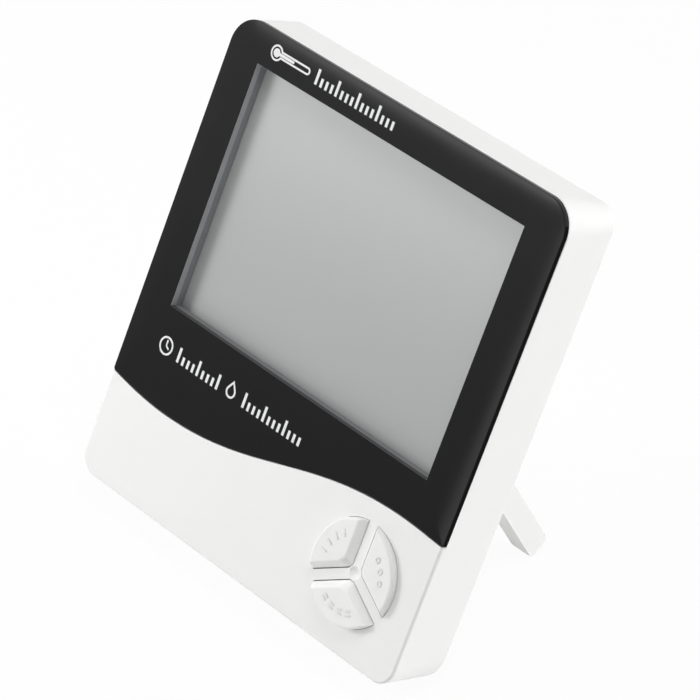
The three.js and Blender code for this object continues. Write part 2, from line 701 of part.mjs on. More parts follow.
// White rear shell: a plate inside the side walls, with a raised, rounded back
function buildRearCase(parent) {
  const plate = slab(caseOutline(sideWall + 0.15), plateFront, plateBack);
  const raisedHeight = overallDepth - plateBack;
  const raised = (skin, front) => {
    const rings = [{ y: front, points: raisedOutline(skin) }];
    for (const angle of [0, 18, 36, 54, 72, 90]) {
      const turn = THREE.MathUtils.degToRad(angle);
      rings.push({
        y: plateBack - skin + raisedHeight * Math.sin(turn),
        points: raisedOutline(skin + raisedRound * (1 - Math.cos(turn))),
      });
    }
    return solid(loft(rings));
  };
  const body = raised(0, plateFront);
  const hollow = raised(rearSkin, plateFront - 1);
  const inner = slab(caseOutline(sideWall + 0.15), postTop + seat, plateBack);
  const wells = screwPlaces.map(({ x, z }) => rod(x, z, caseScrewHead.radius + slip + wellWall, postTop + seat, plateBack));
  const blocks = join(...rearBlocks()).intersect(join(body, slab(caseOutline(sideWall + 0.15), 0, plateBack)));
  const shell = join(cut(join(plate, body), hollow), blocks, join(...wells).intersect(inner));
  const headSeat = plateBack - caseScrewHead.height - seat;
  const screwHoles = screwPlaces.flatMap(({ x, z }) => [
    rod(x, z, screwRadius + slip, 0, overallDepth),
    rod(x, z, caseScrewHead.radius + slip, headSeat, overallDepth),
  ]);
  piece('rear_case', cut(shell, ...screwHoles, ...rearOpenings()), whitePlastic, parent);
  screwPlaces.forEach(({ x, z }, i) => {
    buildScrew(`case_screw_${i + 1}`, x, z, headSeat + seat, caseScrewLength, caseScrewHead, parent);
  });
}

// Everything that is cut out of the rear shell
function rearOpenings() {
  const beyond = overallDepth + 1;
  const half = bayLength / 2;
  const vents = Array.from({ length: ventCount }, (_, i) => {
    const z = ventCentre.z + (i - (ventCount - 1) / 2) * ventPitch;
    const outline = [
      ...arc(ventCentre.x + ventLength / 2, z, ventWidth / 2, -90, 90, 4),
      ...arc(ventCentre.x - ventLength / 2, z, ventWidth / 2, 90, 270, 4),
    ];
    return slab(outline, plateFront, beyond);
  });
  const soundHoles = [0, 1, 2, 3, 4, 5, 6].map((i) => {
    const angle = (i * Math.PI) / 3;
    const ring = i === 6 ? 0 : soundHoleRing;
    return rod(
      sounderCentre.x + ring * Math.cos(angle), sounderCentre.z + ring * Math.sin(angle),
      soundHoleRadius, plateFront, beyond, 10,
    );
  });
  const tabs = [-1, 1].map((side) => slab(
    box(
      side * tabOffset - tabWidth / 2 - slip, side * tabOffset + tabWidth / 2 + slip,
      doorBottom - tabReach - slip, bayBottom + 0.5,
    ),
    doorFront - 2.2, doorFront - 0.05,
  ));
  const hingeHoles = [-1, 1].map((side) => {
    const ends = [side * (standHalfWidth - 1), side * (standHalfWidth + slip + hingePinLength)].sort((a, b) => a - b);
    return hingePin(hingePinRadius + 0.2, ...ends).translate([0, hingeDepth, hingeHeight]);
  });
  return [
    standRecess(0, troughFloor, beyond, -1),
    slab(box(-half, half, bayBottom, bayTop), bayFloor, beyond),
    slab(box(-doorHalfWidth - slip, doorHalfWidth + slip, doorBottom - slip, doorTop + slip), doorFront - slip, beyond),
    slab(hangerOutline(0), skinFront - hangerPocketDepth, beyond),
    rod(0, doorTop + slip, thumbRadius, overallDepth - thumbDepth, beyond),
    ...rearKeys.map(({ z, radius }) => rod(rearKeyX, z, radius + 0.25, plateFront - 2, beyond, 20)),
    ...tabs, ...hingeHoles, ...vents, ...soundHoles,
  ];
}

// A short round pin along X, about the origin's axis
function hingePin(radius, x0, x1) {
  const geometry = new THREE.CylinderGeometry(radius, radius, x1 - x0, 16);
  return solid(geometry.rotateZ(Math.PI / 2).translate((x0 + x1) / 2, 0, 0));
}

// Stand about its hinge axis: two legs hanging down, each with a heel that stops it
function buildStand(parent) {
  const half = standThickness / 2;
  const legOutline = [
    ...arc(-half + footInnerRound, -legLength + footInnerRound, footInnerRound, 180, 270, 3),
    ...arc(half - footOuterRound, -legLength + footOuterRound, footOuterRound, 270, 360, 6),
    new THREE.Vector2(half, heelLength),
    new THREE.Vector2(slip, heelLength),
    ...arc(0, 0, half, 90, 180, 6),
  ];
  const leg = (side) => {
    const ends = [side * standHalfWidth, side * (standHalfWidth - legWidth)].sort((a, b) => a - b);
    return sideSlab(legOutline, ...ends);
  };
  const barrel = new THREE.CylinderGeometry(half, half, 2 * (standHalfWidth - legWidth + weld), 32);
  const pin = (side) => {
    const ends = [side * (standHalfWidth - weld), side * (standHalfWidth + hingePinLength)].sort((a, b) => a - b);
    return hingePin(hingePinRadius, ...ends);
  };
  const body = join(leg(-1), leg(1), solid(barrel.rotateZ(Math.PI / 2)), pin(-1), pin(1));
  const stand = piece('stand', body, whitePlastic, parent);
  stand.position.set(0, hingeDepth, hingeHeight);
  stand.rotation.x = THREE.MathUtils.degToRad(openAngle);
}

// Cell bay door: a flush plate with two tabs that hook under the rear shell
function buildDoor(parent) {
  const plate = slab(box(-doorHalfWidth, doorHalfWidth, doorBottom, doorTop), doorFront, overallDepth);
  const tabs = [-1, 1].map((side) => {
    const [x0, x1] = [side * tabOffset - tabWidth / 2, side * tabOffset + tabWidth / 2];
    return join(
      slab(box(x0, x1, doorBottom + slip, bayBottom), doorFront - slip - tabThickness, doorFront + weld),
      slab(box(x0, x1, doorBottom - tabReach, bayBottom), doorFront - slip - tabThickness, doorFront - slip),
    );
  });
  const thumb = rod(0, doorTop + slip, thumbRadius, overallDepth - thumbDepth, overallDepth + 1);
  const ribs = [-1, 0, 1].map((i) => slab(
    box(-doorHalfWidth + 4, doorHalfWidth - 4, doorTop - 3.4 + i * 0.8, doorTop - 3 + i * 0.8),
    overallDepth - 0.3, overallDepth + 1,
  ));
  piece('battery_door', cut(join(plate, ...tabs), thumb, ...ribs), whitePlastic, parent);
}

// Cell with its contacts, lying across the case with its nub to the right
function buildCell(parent) {
  const cell = turned([
    [0, 0], [cellRadius - 0.5, 0], [cellRadius, 0.4], [cellRadius, cellLength - 0.4],
    [cellRadius - 0.6, cellLength], [nubRadius, cellLength], [nubRadius, cellLength + nubLength],
    [0, cellLength + nubLength],
  ], 28).rotate([0, 0, -90]);
  const left = -bayLength / 2 + slip + contactThickness;
  const cellStart = left + springLength + 2 * slip;
  piece('battery', cell, cellJacket, parent).position.set(cellStart, cellDepth, bayCentreHeight);
  const half = cellRadius - 0.4;
  const plate = (x) => sideSlab(
    [[-half, -half], [half, -half], [half, half], [-half, half]].map(([y, z]) => new THREE.Vector2(y, z)),
    x, x + contactThickness,
  ).translate([0, cellDepth, bayCentreHeight]);
  piece('spring_plate', plate(left - contactThickness), steel, parent);
  piece('nub_plate', plate(cellStart + cellLength + nubLength + slip), steel, parent);
  const spring = piece('battery_spring', cellSpring(), steel, parent);
  spring.position.set(left + slip, cellDepth, bayCentreHeight);
}

// Conical spring along X, wound from a formula: wide at the plate and narrow at the cell
function cellSpring() {
  const wire = 0.3;
  const turns = 4;
  class Coil extends THREE.Curve {
    getPoint(t, target = new THREE.Vector3()) {
      const angle = 2 * Math.PI * turns * t;
      const radius = 3.8 - 1.6 * t;
      const x = wire + (springLength - 2 * wire) * t;
      return target.set(x, radius * Math.cos(angle), radius * Math.sin(angle));
    }
  }
  const section = new THREE.Shape(arc(0, 0, wire, 0, 360, 6).slice(0, 6));
  return solid(new THREE.ExtrudeGeometry(section, {
    steps: turns * 12, bevelEnabled: false, extrudePath: new Coil(),
  }));
}

// Sounder: a brass disc with a ceramic layer, glued inside the rear shell
function buildSounder(parent) {
  const back = skinFront - 1.4 - seat;
  const { x, z } = sounderCentre;
  piece('sounder_disc', rod(x, z, sounderRadius, back - sounderThickness, back, 32), brass, parent);
  const front = back - sounderThickness - seat;
  piece('sounder_ceramic', rod(x, z, sounderRadius * 0.7, front - 0.25, front, 28), ceramic, parent);
}

// Rear keys: a round cap through the rear shell, a flange inside it and a stem
function buildRearKeys(parent) {
  const stemEnd = boardBack + switchHeight + plungerRise + slip;
  for (const { name, z, radius, back } of rearKeys) {
    const flangeBack = skinFront - 0.6 - slip;
    const cap = join(
      rod(rearKeyX, z, radius, flangeBack - weld, back, 20),
      rod(rearKeyX, z, radius + rearKeyFlange, flangeBack - rearKeyFlange, flangeBack, 20),
      rod(rearKeyX, z, 1, stemEnd, flangeBack - 0.4, 16),
    );
    piece(name, cap, keyPlastic, parent);
    buildSwitch(name, rearKeyX, z, 1, parent);
  }
}

// How far the case leans back, standing on its lower rear edge and the two feet
function leanAngle() {
  const turn = THREE.MathUtils.degToRad(openAngle);
  const rim = new THREE.Vector2(sideDepth - rimRound, rimRound);
  const footCentre = new THREE.Vector2(-standThickness / 2 + footInnerRound, -legLength + footInnerRound);
  const foot = footCentre.rotateAround(new THREE.Vector2(), turn).add(new THREE.Vector2(hingeDepth, hingeHeight));
  const span = foot.sub(rim);
  return span.angle() + Math.asin((rimRound - footInnerRound) / span.length());
}

const thermoHygrometer = new THREE.Group();
const leaning = new THREE.Group();
leaning.rotation.x = -leanAngle();
thermoHygrometer.add(leaning);

buildFrontCase(leaning);
buildPanel(leaning);
buildDisplay(leaning);
buildKeys(leaning);
buildFrontSwitches(leaning);
buildBoard(leaning);
buildBoardParts(leaning);
buildRearCase(leaning);
buildSounder(leaning);
buildRearKeys(leaning);
buildCell(leaning);
buildDoor(leaning);
buildStand(leaning);

// Origin under the middle of the standing clock
const bounds = new THREE.Box3().setFromObject(thermoHygrometer, true);
const middle = bounds.getCenter(new THREE.Vector3());
leaning.position.set(-middle.x, -middle.y, -bounds.min.z);

export default thermoHygrometer;
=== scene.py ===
"""Looks of a leaning desk thermo-hygrometer: case, glossy face, deep display window, keys and stand."""

import json
import math

import bmesh
import bpy
from bpy.props import FloatProperty, FloatVectorProperty, PointerProperty
from mathutils import Matrix, Vector


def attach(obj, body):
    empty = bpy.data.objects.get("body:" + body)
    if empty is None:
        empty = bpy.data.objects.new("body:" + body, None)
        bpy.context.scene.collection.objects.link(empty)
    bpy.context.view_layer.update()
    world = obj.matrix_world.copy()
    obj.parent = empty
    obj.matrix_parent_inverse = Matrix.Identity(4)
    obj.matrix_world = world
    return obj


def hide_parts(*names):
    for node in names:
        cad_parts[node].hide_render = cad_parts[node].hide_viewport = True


bl_info = {
    "name": "Desk Thermo-Hygrometer",
    "version": (1, 0, 0),
    "blender": (4, 5, 0),
    "location": "View3D > Sidebar > Desk Clock",
    "description": "Models the case, face, display, keys, stand and stage of a desk thermo-hygrometer",
    "category": "Object",
}

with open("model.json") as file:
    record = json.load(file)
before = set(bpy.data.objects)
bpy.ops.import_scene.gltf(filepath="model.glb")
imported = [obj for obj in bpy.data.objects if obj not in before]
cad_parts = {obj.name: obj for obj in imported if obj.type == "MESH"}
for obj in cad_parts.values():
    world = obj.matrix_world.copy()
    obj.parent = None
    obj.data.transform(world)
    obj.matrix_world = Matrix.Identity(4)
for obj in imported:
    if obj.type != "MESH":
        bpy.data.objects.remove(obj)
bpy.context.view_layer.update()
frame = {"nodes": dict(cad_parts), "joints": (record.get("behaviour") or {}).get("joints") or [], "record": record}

MM = 0.001

# Gap between fitted pieces, how far a cutter runs past what it cuts, and how near counts as level
CLEARANCE = 0.1 * MM
THROUGH = 1 * MM
CLOSE = 0.005 * MM

# Side of the picture and focal length in pixels, width of the camera's sensor in millimetres
IMAGE_SIDE = 700
FOCAL_PIXELS = 3849.1
SENSOR = 36.0


def srgb(red, green, blue):
    """A colour picked on a screen, 0 to 255 a channel, as Blender's linear values."""
    return tuple(
        c / 12.92 if c <= 0.04045 else ((c + 0.055) / 1.055) ** 2.4
        for c in (red / 255, green / 255, blue / 255)
    )


def length(name, millimetres, description):
    """A length that a user can set, shown in the scene's units."""
    return FloatProperty(name=name, description=description, default=millimetres * MM, min=0, unit="LENGTH")


def colour(name, value, description):
    """A colour that a user can set."""
    return FloatVectorProperty(
        name=name, description=description, default=value, min=0, max=1, size=3, subtype="COLOR"
    )


# The pieces are modelled in the upright case: X right across the face, Y from the face to the back,
# Z up the face. HINGE is the stand's hinge there, and LEANING takes that case to its place in the frame.
joints = {joint["name"]: joint for joint in frame["joints"]}
push = Vector(joints["right_key_push"]["axis"])
LEAN = Matrix.Rotation(math.atan2(push.z, push.y), 4, "X")
HINGE = Vector((0, 17.25, 50.1)) * MM
LEANING = Matrix.Translation(Vector(joints["stand_hinge"]["pos_m"]) - LEAN @ HINGE) @ LEAN


class CaseSizes(bpy.types.PropertyGroup):
    """Sizes of the two shells and the black face."""

    width: length("Width", 100, "Across the face")
    height: length("Height", 108, "Up the face")
    side_depth: length("Side depth", 15.5, "How far the side walls run back")
    top_radius: length("Top corners", 6.7, "Radius of the face's two upper corners")
    bottom_radius: length("Bottom corners", 4.7, "Radius of the face's two lower corners")
    top_rim: length("Top rim corners", 4.6, "Radius of the upper corners at the rear rim")
    bottom_rim: length("Bottom rim corners", 7.3, "Radius of the lower corners at the rear rim")
    wall: length("Wall", 2, "Thickness of the side walls")
    face_wall: length("Face wall", 2.4, "Thickness of the white face")
    face_recess: length("Face recess", 0.2, "White face below the black one")
    face_round: length("Face rounding", 0.7, "Rounding round the white face")
    rim_round: length("Rim rounding", 0.6, "Rounding round the open back of the front shell")
    panel_thickness: length("Panel thickness", 1.35, "Thickness of the black plate")
    panel_round: length("Panel rounding", 0.22, "Rounding round the black plate's front")
    panel_tip: length("Panel tips", 0.8, "Rounding of the black plate's two lower tips")
    panel_seam: length("Panel seam", 0.15, "Gap along the panel's curved edge")
    pillow: length("Pillow", 0.2, "How far the black plate falls towards its edges")
    pillow_width: length("Pillow width", 4.8, "Width of the band in which it falls")


class EdgeSizes(bpy.types.PropertyGroup):
    """The curved lower edge of the black plate."""

    left: length("Left height", 23.8, "Where the edge meets the left side")
    dip_across: length("Dip from middle", 31.5, "How far left of the middle the edge is lowest")
    dip: length("Dip height", 21.9, "The edge's lowest height")
    crest_across: length("Crest from middle", 37.5, "How far right of the middle the edge is highest")
    crest: length("Crest height", 33.85, "The edge's highest height")
    right: length("Right height", 33.3, "Where the edge meets the right side")
    pull: length("Pull", 27.8, "How far the dip and the crest flatten the curve between them")


class DisplaySizes(bpy.types.PropertyGroup):
    """The window and what is seen in it."""

    width: length("Window width", 80.6, "Across the window")
    height: length("Window height", 56.3, "Up the window")
    bottom: length("Window bottom", 43.5, "From the case's lower end to the window")
    depth: length("Depth", 3.4, "From the panel's front to the display")
    seal: length("Seal", 0.9, "Width of the grey seal round the window")
    film: length("Film", 0.2, "Thickness of the display's front film")
    lap: length("Lap", 1.1, "Film behind the window's edge, at the sides")
    foot: length("Foot", 0.7, "Film below the window")
    head: length("Head", 2.9, "Film above the window")


class KeySizes(bpy.types.PropertyGroup):
    """The three sector keys and the spokes between them."""

    across: length("Across", 31.6, "Right of the middle")
    up: length("Up", 17.6, "Above the case's lower end")
    hole: length("Hole radius", 11.6, "Radius of the opening for the keys")
    gap: length("Rim gap", 0.12, "Between a key's round side and the shell")
    spoke_gap: length("Spoke gap", 0.19, "Between a key's straight sides and the spokes")
    spoke: length("Half spoke", 1.15, "Half the width of a spoke")
    hub: length("Hub", 1.75, "From the hub's middle to the flat ends of the openings")
    dimple: length("Dimple", 1.5, "Radius of the dimple in the hub")
    dimple_depth: length("Dimple depth", 0.75, "Depth of that dimple")
    rise: length("Rise", 1.7, "Height of the keys above the white face")
    bevel: length("Bevel", 1.3, "How far the straight sides slope in")
    rim: length("Rim", 0.65, "Radius that the round side rolls over with")
    brow: length("Brow", 0.45, "Rounding along the top of the sloping sides")
    mark_radius: length("Mark radius", 8.3, "From the hub's middle to the raised marks")


class Finishes(bpy.types.PropertyGroup):
    """Colours of the finishes."""

    white: colour("White plastic", srgb(243, 243, 242), "Case shells, stand and door")
    key: colour("Key plastic", srgb(245, 245, 244), "Front and rear keys")
    black: colour("Black gloss", srgb(14, 14, 15), "Plate round the display")
    cut_edge: colour("Cut edge", srgb(165, 166, 168), "The black plate's edge inside the window")
    seal: colour("Seal", srgb(138, 139, 141), "Frame inside the window")
    # The display's two colours are the lit and shaded ends of light and shade painted across it
    display_painted_light: colour("Display, lit end", srgb(198, 200, 199), "Display at its upper left")
    display_painted_shade: colour("Display, far end", srgb(170, 172, 172), "Display at its lower right")
    ink: colour("Marks", srgb(236, 236, 236), "Printed marks on the black plate")


SETTINGS = {
    "clock_case": CaseSizes,
    "clock_edge": EdgeSizes,
    "clock_display": DisplaySizes,
    "clock_keys": KeySizes,
    "clock_finishes": Finishes,
}

# Directions of the keys from the hub, and of the marks from their key's middle, in degrees
KEY_DIRECTIONS = {"upper_left_key": 150, "right_key": 30, "lower_key": 270}
MARK_HEIGHT = 0.1 * MM
KEY_MARKS = {
    150: ("bars", (-25, -9, 7, 23)),
    30: ("rings", (-17, 0, 17)),
    270: ("pairs", (-27, -10, 7, 24)),
}


def activate(piece):
    """Makes one object the only selected one, and the active one."""
    if bpy.context.object and bpy.context.object.mode != "OBJECT":
        bpy.ops.object.mode_set(mode="OBJECT")
    bpy.ops.object.select_all(action="DESELECT")
    bpy.context.view_layer.objects.active = piece
    piece.select_set(True)


def block(name, low, high):
    """A cuboid between two corners."""
    bpy.ops.object.select_all(action="DESELECT")
    low, high = Vector(low), Vector(high)
    bpy.ops.mesh.primitive_cube_add(size=1, location=(low + high) / 2)
    piece = bpy.context.object
    piece.name = name
    piece.scale = high - low
    bpy.ops.object.transform_apply(location=True, rotation=True, scale=True)
    return piece


def loft(name, rings):
    """A solid through outlines of X and Z with the same number of points, each at its own depth."""
    bpy.ops.object.select_all(action="DESELECT")
    depth, outline = rings[0]
    bpy.ops.mesh.primitive_circle_add(vertices=len(outline), radius=1, fill_type="NGON")
    piece = bpy.context.object
    piece.name = name
    for vertex, (x, z) in zip(piece.data.vertices, outline):
        vertex.co = (x, depth, z)
    bpy.ops.object.mode_set(mode="EDIT")
    bpy.ops.mesh.select_mode(type="VERT")
    bpy.ops.mesh.select_all(action="SELECT")
    for depth, outline in rings[1:]:
        bpy.ops.mesh.extrude_region_move()
        mesh = bmesh.from_edit_mesh(piece.data)
        moved = sorted((v for v in mesh.verts if v.select), key=lambda v: v.index)
        for vertex, (x, z) in zip(moved, outline):
            vertex.co = (x, depth, z)
        bmesh.update_edit_mesh(piece.data)
    bpy.ops.mesh.select_all(action="SELECT")
    bpy.ops.mesh.normals_make_consistent(inside=False)
    bpy.ops.object.mode_set(mode="OBJECT")
    return piece


def plate(name, outline, front, back):
    """A flat piece with one outline all through."""
    return loft(name, [(front, outline), (back, outline)])


def combine(piece, other, operation="DIFFERENCE"):
    """Cuts another solid from a piece, or joins it on, and leaves only the result."""
    activate(piece)
    modifier = piece.modifiers.new("combine", "BOOLEAN")
    modifier.operation = operation
    modifier.solver = "EXACT"
    modifier.object = other
    bpy.ops.object.modifier_apply(modifier=modifier.name)
    bpy.data.objects.remove(other, do_unlink=True)
    return piece


def bevel_edges(piece, width, segments, chosen):
    """Rounds the edges whose middle and direction pass a test."""
    activate(piece)
    bpy.ops.object.mode_set(mode="EDIT")
    bpy.ops.mesh.select_mode(type="EDGE")
    bpy.ops.mesh.select_all(action="DESELECT")
    mesh = bmesh.from_edit_mesh(piece.data)
    for edge in mesh.edges:
        first, second = (v.co for v in edge.verts)
        edge.select_set(chosen((first + second) / 2, (second - first).normalized()))
    bmesh.update_edit_mesh(piece.data)
    bpy.ops.mesh.bevel(offset=width, segments=segments, affect="EDGES", clamp_overlap=True)
    bpy.ops.object.mode_set(mode="OBJECT")


def smooth(piece, angle=35):
    """Shades a piece smooth up to an angle, with its flat faces kept flat."""
    activate(piece)
    bpy.ops.object.shade_smooth_by_angle(angle=math.radians(angle))
    weigh = piece.modifiers.new("weigh", "WEIGHTED_NORMAL")
    weigh.keep_sharp = True
    bpy.ops.object.modifier_apply(modifier=weigh.name)


def join(pieces):
    """Puts several meshes into the first one's object."""
    activate(pieces[0])
    for piece in pieces:
        piece.select_set(True)
    bpy.ops.object.join()
    return pieces[0]


def settle(piece, body, slot, finish, *nodes):
    """Leans an upright piece into its place, gives it its finish and lets it ride on its body."""
    activate(piece)
    piece.matrix_world = LEANING
    bpy.ops.object.transform_apply(location=True, rotation=True, scale=True)
    dress(piece, body, slot, finish, *nodes)


def dress(piece, body, slot, finish, *nodes):
    """Gives a piece its finish and its body, and hides the nodes that it stands for. The slot is not used."""
    piece.data.materials.clear()
    piece.data.materials.append(finish)
    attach(piece, body)
    if nodes:
        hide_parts(*nodes)


def soften(node, name, width):
    """A merged copy of a CAD node whose sharp edges are rounded a little."""
    merge, flat, sharp = 0.002 * MM, math.radians(1), math.radians(40)
    piece = bpy.data.objects.new(name, frame["nodes"][node].data.copy())
    bpy.context.scene.collection.objects.link(piece)
    activate(piece)
    bpy.ops.object.mode_set(mode="EDIT")
    bpy.ops.mesh.select_all(action="SELECT")
    bpy.ops.mesh.remove_doubles(threshold=merge)
    bpy.ops.mesh.dissolve_limited(angle_limit=flat)
    bpy.ops.object.mode_set(mode="OBJECT")
    bevel = piece.modifiers.new("bevel", "BEVEL")
    bevel.width = width
    bevel.segments = 2
    bevel.limit_method = "ANGLE"
    bevel.angle_limit = sharp
    bpy.ops.object.modifier_apply(modifier=bevel.name)
    smooth(piece)
    return piece


def arc(x, z, radius, start, end, steps):
    """Points of an arc about a centre, angles in degrees."""
    turns = [math.radians(start + (end - start) * i / steps) for i in range(steps + 1)]
    return [(x + radius * math.cos(turn), z + radius * math.sin(turn)) for turn in turns]


def case_outline(case, inset, back=0.0):
    """The case's outline, drawn in by an inset. At back 0 it is that of the face, at 1 of the rear rim."""
    steps = 20
    half = case.width / 2 - inset
    low = case.bottom_radius + back * (case.bottom_rim - case.bottom_radius) - inset
    high = case.top_radius + back * (case.top_rim - case.top_radius) - inset
    return (
        arc(half - low, inset + low, low, -90, 0, steps)
        + arc(half - high, case.height - inset - high, high, 0, 90, steps)
        + arc(high - half, case.height - inset - high, high, 90, 180, steps)
        + arc(low - half, inset + low, low, 180, 270, steps)
    )


def bezier(start, pull_start, pull_end, end, steps):
    """Points of a cubic curve, without its last one."""
    points = []
    for i in range(steps):
        t = i / steps
        shares = ((1 - t) ** 3, 3 * t * (1 - t) ** 2, 3 * t * t * (1 - t), t**3)
        parts = zip(shares, (start, pull_start, pull_end, end))
        points.append(tuple(sum(column) for column in zip(*[(s * x, s * z) for s, (x, z) in parts])))
    return points


def lower_edge(case, edge, drop=0.0, tip=0.0):
    """The plate's lower edge from left to right: it dips, rises and crests, with its tips rounded."""
    half, steps = case.width / 2, 48
    dip, crest = (-edge.dip_across, edge.dip - drop), (edge.crest_across, edge.crest - drop)
    left, right = (-half, edge.left - drop), (half, edge.right - drop)
    fall = 0.45 * (dip[0] + half)
    rise = 0.45 * (half - crest[0])
    falling = (dip[0] - 1.4 * fall, dip[1] + 0.35 * (left[1] - dip[1]))
    slope = Vector((falling[0] - left[0], falling[1] - left[1])).normalized() * tip
    start, end = (left[0] + slope.x, left[1] + slope.y), (half - tip, right[1])
    edge_points = (
        bezier(start, falling, (dip[0] - 0.7 * fall, dip[1]), dip, steps // 3)
        + bezier(dip, (dip[0] + edge.pull, dip[1]), (crest[0] - edge.pull, crest[1]), crest, steps)
        + bezier(crest, (crest[0] + rise, crest[1]), (half - 0.5 * rise, right[1]), end, steps // 3)
    )
    if not tip:
        return edge_points + [right]
    first, last = (-half, left[1] + tip), (half, right[1] + tip)
    return bezier(first, left, left, start, 4) + edge_points + bezier(end, right, right, last, 4) + [last]


def sector_outline(keys, direction, outer, offset, hub, soft=0.4 * MM):
    """One sector between two spokes, cut off at a distance from the hub, with that end's corners soft."""
    spread = math.radians(60)
    reach = 60 - math.degrees(math.asin(offset / outer))
    end = (hub - offset / math.sin(spread)) * math.tan(spread)
    bend = math.tan(spread / 4)
    soft = min(soft, 0.98 * end / bend)
    middle = end - soft * bend
    points = arc(0, 0, outer, -reach, reach, 28)
    points += arc(hub + soft, middle, soft, 150, 180, 5) + arc(hub + soft, -middle, soft, 180, 210, 5)
    turn = math.radians(direction)
    return [
        (
            keys.across + x * math.cos(turn) - z * math.sin(turn),
            keys.up + x * math.sin(turn) + z * math.cos(turn),
        )
        for x, z in points
    ]


class Socket:
    """A node's output, with Python's operators for the maths of a shader."""

    def __init__(self, tree, output):
        self.tree = tree
        self.output = output

    def math(self, operation, other, swapped=False):
        """Adds a Math node that works on this value and another."""
        values = (other, self) if swapped else (self, other)
        return self.tree.node("ShaderNodeMath", {"operation": operation}, values)

    def __add__(self, other):
        return self.math("ADD", other)

    def __mul__(self, other):
        return self.math("MULTIPLY", other)

    def __sub__(self, other):
        return self.math("SUBTRACT", other)

    def __rsub__(self, other):
        return self.math("SUBTRACT", other, swapped=True)

    def __gt__(self, other):
        return self.math("GREATER_THAN", other)

    def __lt__(self, other):
        return self.math("LESS_THAN", other)

    __radd__ = __add__


class Tree:
    """The node tree of a material or world, with one method that adds any node."""

    def __init__(self, owner):
        owner.use_nodes = True
        self.owner = owner
        self.tree = owner.node_tree

    def node(self, kind, settings=None, inputs=(), output=0):
        """Adds a node, sets its settings, then fills its sockets with values or links."""
        made = self.tree.nodes.new(kind)
        for name, value in (settings or {}).items():
            setattr(made, name, value)
        pairs = inputs.items() if isinstance(inputs, dict) else enumerate(inputs)
        for key, value in pairs:
            self.fill(made.inputs[key], value)
        return Socket(self, made.outputs[output])

    def fill(self, socket, value):
        """Links an output to a socket, or sets the socket's own value."""
        if isinstance(value, Socket):
            self.tree.links.new(value.output, socket)
        else:
            socket.default_value = value

    def socket(self, node, name):
        """An input of a node that is there from the start."""
        return self.tree.nodes[node].inputs[name]

    def seen_directly(self):
        """1 for rays from the camera, off gloss or through glass."""
        rays = [
            self.node("ShaderNodeLightPath", output=name)
            for name in ("Is Camera Ray", "Is Glossy Ray", "Is Transmission Ray")
        ]
        return rays[0].math("MAXIMUM", rays[1]).math("MAXIMUM", rays[2])

    def place(self):
        """Position on the object, in metres."""
        return self.node("ShaderNodeTexCoord", output="Object")

    def upright(self, axis):
        """One coordinate of the position on the object, in the upright case's axes."""
        back = LEANING.inverted()
        settings = {
            "Vector": self.place(), "Location": back.to_translation(), "Rotation": back.to_euler(),
        }
        spot = self.node("ShaderNodeMapping", inputs=settings)
        return self.node("ShaderNodeSeparateXYZ", inputs=(spot,), output=axis)

    def noise(self, grain, detail=2.0, stretch=(1, 1, 1)):
        """Smooth noise whose grains are of a given size in metres."""
        spot = self.node("ShaderNodeMapping", inputs={"Vector": self.place(), "Scale": stretch})
        return self.node(
            "ShaderNodeTexNoise", inputs={"Vector": spot, "Scale": 1 / grain, "Detail": detail}
        )

    def mix(self, factor, first, second):
        """A colour between two colours."""
        return self.node(
            "ShaderNodeMix", {"data_type": "RGBA"},
            {"Factor": factor, 6: opaque(first), 7: opaque(second)}, output=2,
        )

    def bump(self, height, distance):
        """A normal that follows a height."""
        inputs = {"Height": height, "Distance": distance}
        return self.node("ShaderNodeBump", inputs=inputs, output="Normal")

    def surface(self, **values):
        """Fills the shader's sockets, named in lower case with underscores."""
        for name, value in values.items():
            socket = self.socket("Principled BSDF", name.replace("_", " ").title().replace("Ior", "IOR"))
            self.fill(socket, opaque(value) if name == "base_color" else value)
        return self.owner


def new_finish(name):
    """The tree of a new material."""
    return Tree(bpy.data.materials.new(f"{name} finish"))


def opaque(value):
    """A colour with its alpha, where it is a plain one."""
    return (*value, 1.0) if isinstance(value, (tuple, list)) and len(value) == 3 else value


def shade_of(value, share):
    """A colour made darker or lighter by a share."""
    return tuple(min(1.0, channel * share) for channel in value)


def moulded_plastic(name, base, roughness=0.42, milky=0.0):
    """Moulded plastic with a fine sparked texture and faint clouds of tone."""
    tree = new_finish(name)
    grain, depth, light_reach = 0.12 * MM, 0.004 * MM, 0.35 * MM
    clouds = tree.noise(18 * MM, 3)
    texture = tree.noise(grain, 3)
    return tree.surface(
        base_color=tree.mix(clouds, shade_of(base, 0.985), shade_of(base, 1.012)),
        roughness=roughness - 0.04 + tree.noise(6 * MM) * 0.08,
        subsurface_weight=milky,
        subsurface_radius=(1, 1, 1),
        subsurface_scale=light_reach,
        specular_ior_level=0.4,
        normal=tree.bump(texture, depth),
    )


